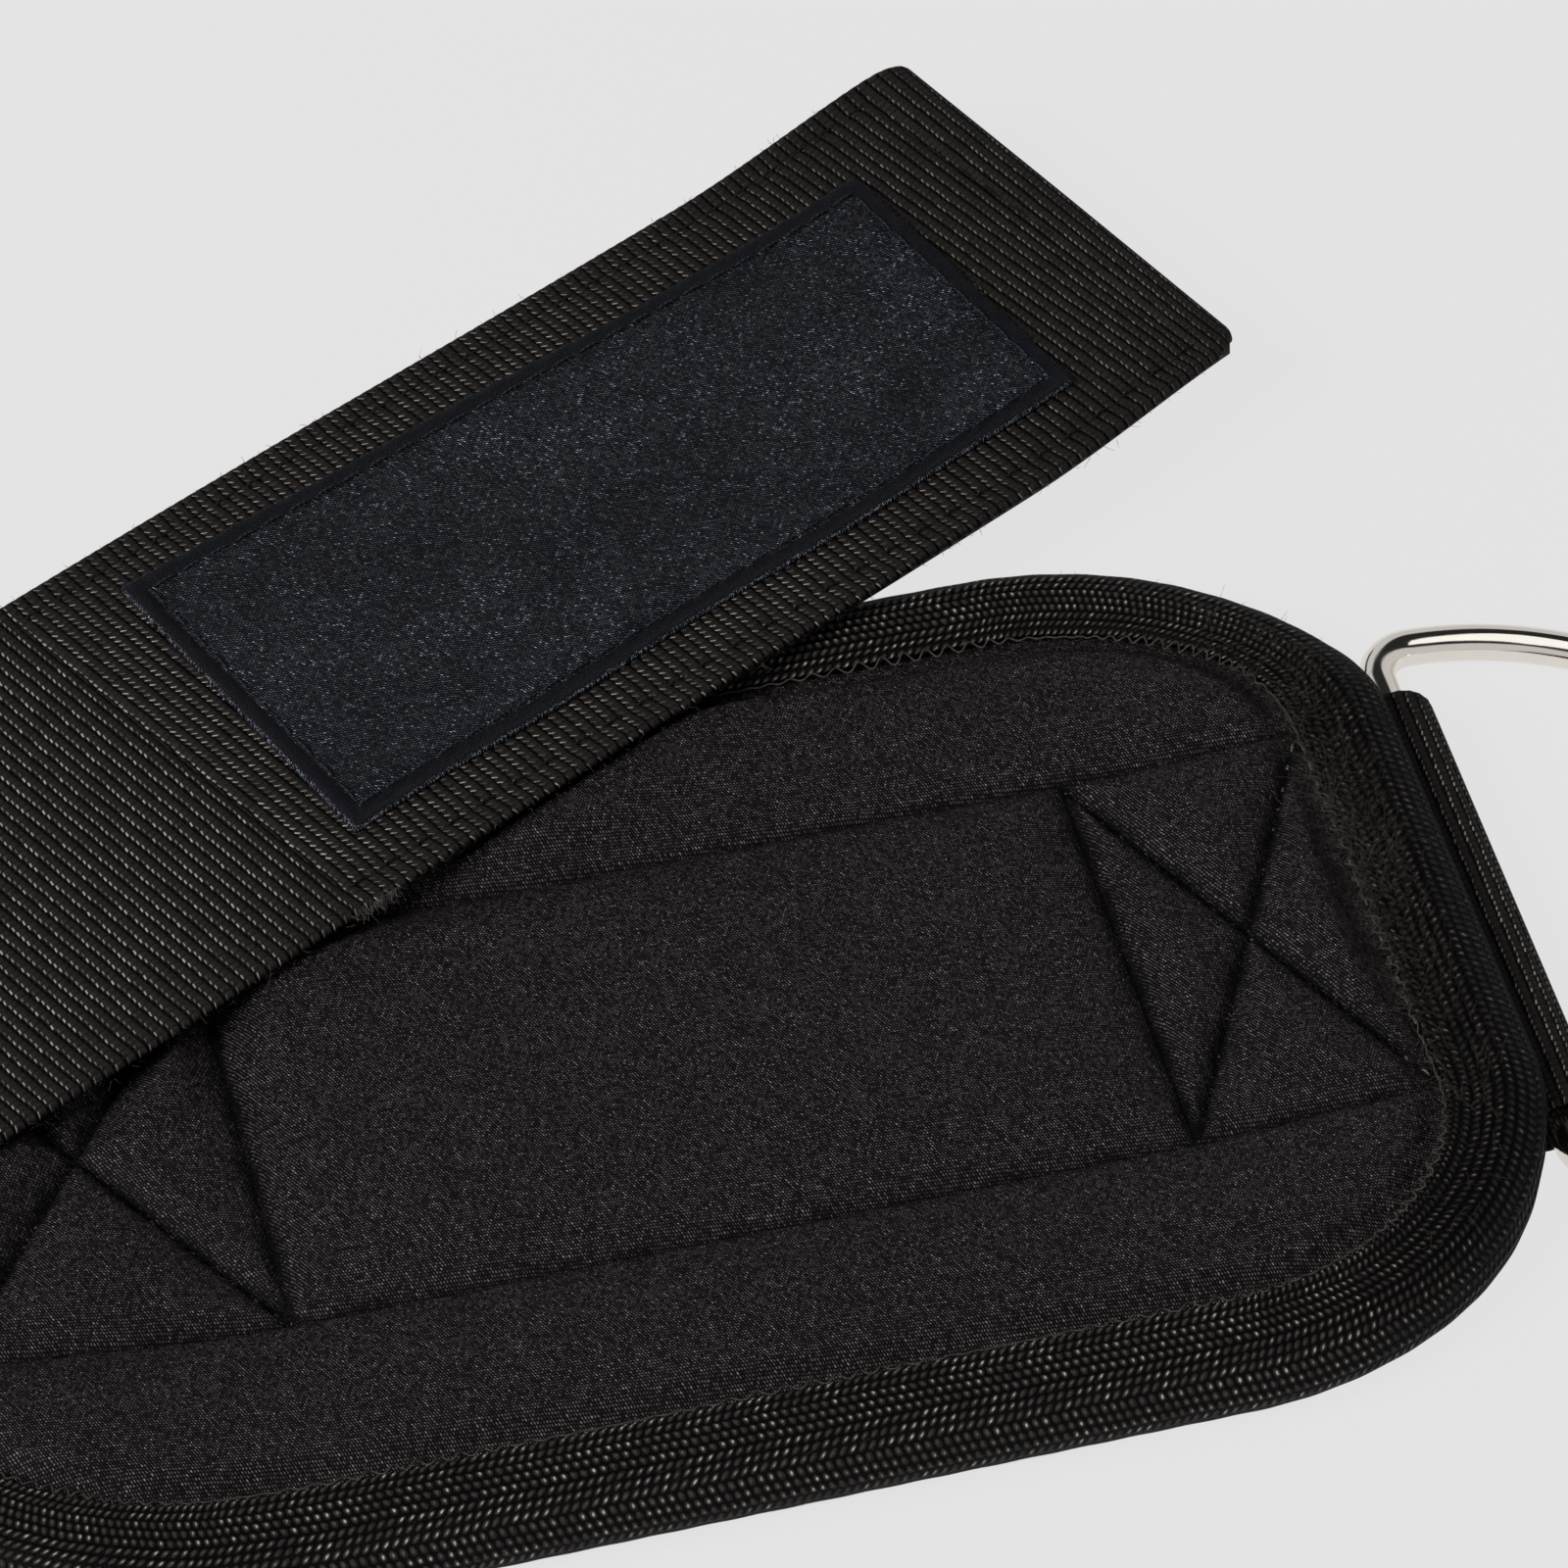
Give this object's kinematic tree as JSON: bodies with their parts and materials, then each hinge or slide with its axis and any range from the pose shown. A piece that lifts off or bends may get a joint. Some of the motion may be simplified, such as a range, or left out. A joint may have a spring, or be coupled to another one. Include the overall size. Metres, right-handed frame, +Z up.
{
  "type": "cable ankle cuff",
  "caption": "Padded ankle cuff for a cable machine, lying open: quilted pad with woven binding, long webbing strap with label and fastener patch, and a steel D-ring.",
  "frame": {"origin": "on the surface that the cuff lies on, under the middle of the width of the sewn strap, 56.6 mm from the axis of the ring's bar", "axes": "+X along the pad towards the D-ring, +Y across the pad towards the strap's free tip, +Z up, out of the pad's soft inner side"},
  "size_m": [0.2244, 0.1563, 0.0149],
  "materials": {
    "knit": "fine black knit over foam",
    "binding_tape": "woven black edge binding with pale thread dashes",
    "webbing": "ribbed charcoal webbing",
    "fastener": "black hook fastener tape",
    "label_satin": "blue-black woven satin, bare",
    "steel": "polished plated steel"
  },
  "bodies": {
    "cuff": {"pad": "knit", "binding": "binding_tape", "strap": "webbing", "fastener_patch": "fastener", "label": "label_satin"},
    "ring": {"d_ring": "steel"}
  },
  "joints": [
    {"name": "ring_swing", "type": "hinge", "parent": "cuff", "child": "ring", "pos_m": [0.0566, 0.001, 0.00365], "axis": [0, -1, 0], "range_deg": [0, 110]}
  ]
}
